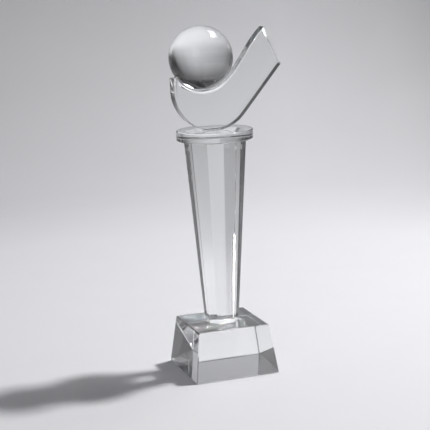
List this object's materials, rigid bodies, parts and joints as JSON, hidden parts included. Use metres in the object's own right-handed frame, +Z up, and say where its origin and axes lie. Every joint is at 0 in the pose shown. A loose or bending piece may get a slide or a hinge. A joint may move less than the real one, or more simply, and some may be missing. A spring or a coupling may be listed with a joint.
{
  "type": "crystal award",
  "caption": "Free-standing clear crystal award: tapered square base, eight-sided column, round disc, and a flat sail-shaped plate holding a solid ball.",
  "frame": {"origin": "centre of the base block's underside", "axes": "+Z up along the column; the front faces -Y; the plate's point leans towards +X and the ball sits on the -X side"},
  "size_m": [0.1045, 0.08, 0.3185],
  "materials": {
    "crystal": "clear optical crystal, ground and polished",
    "ball_crystal": "clear optical crystal, polished sphere",
    "cured_adhesive": "clear cured adhesive"
  },
  "bodies": {
    "root": {"base_block": "crystal", "base_column_bond": "cured_adhesive", "column": "crystal", "column_disc_bond": "cured_adhesive", "top_disc": "crystal", "disc_plate_bond": "cured_adhesive", "sail_plate": "crystal", "ball_seat_bond": "cured_adhesive", "crystal_ball": "ball_crystal"}
  },
  "joints": []
}
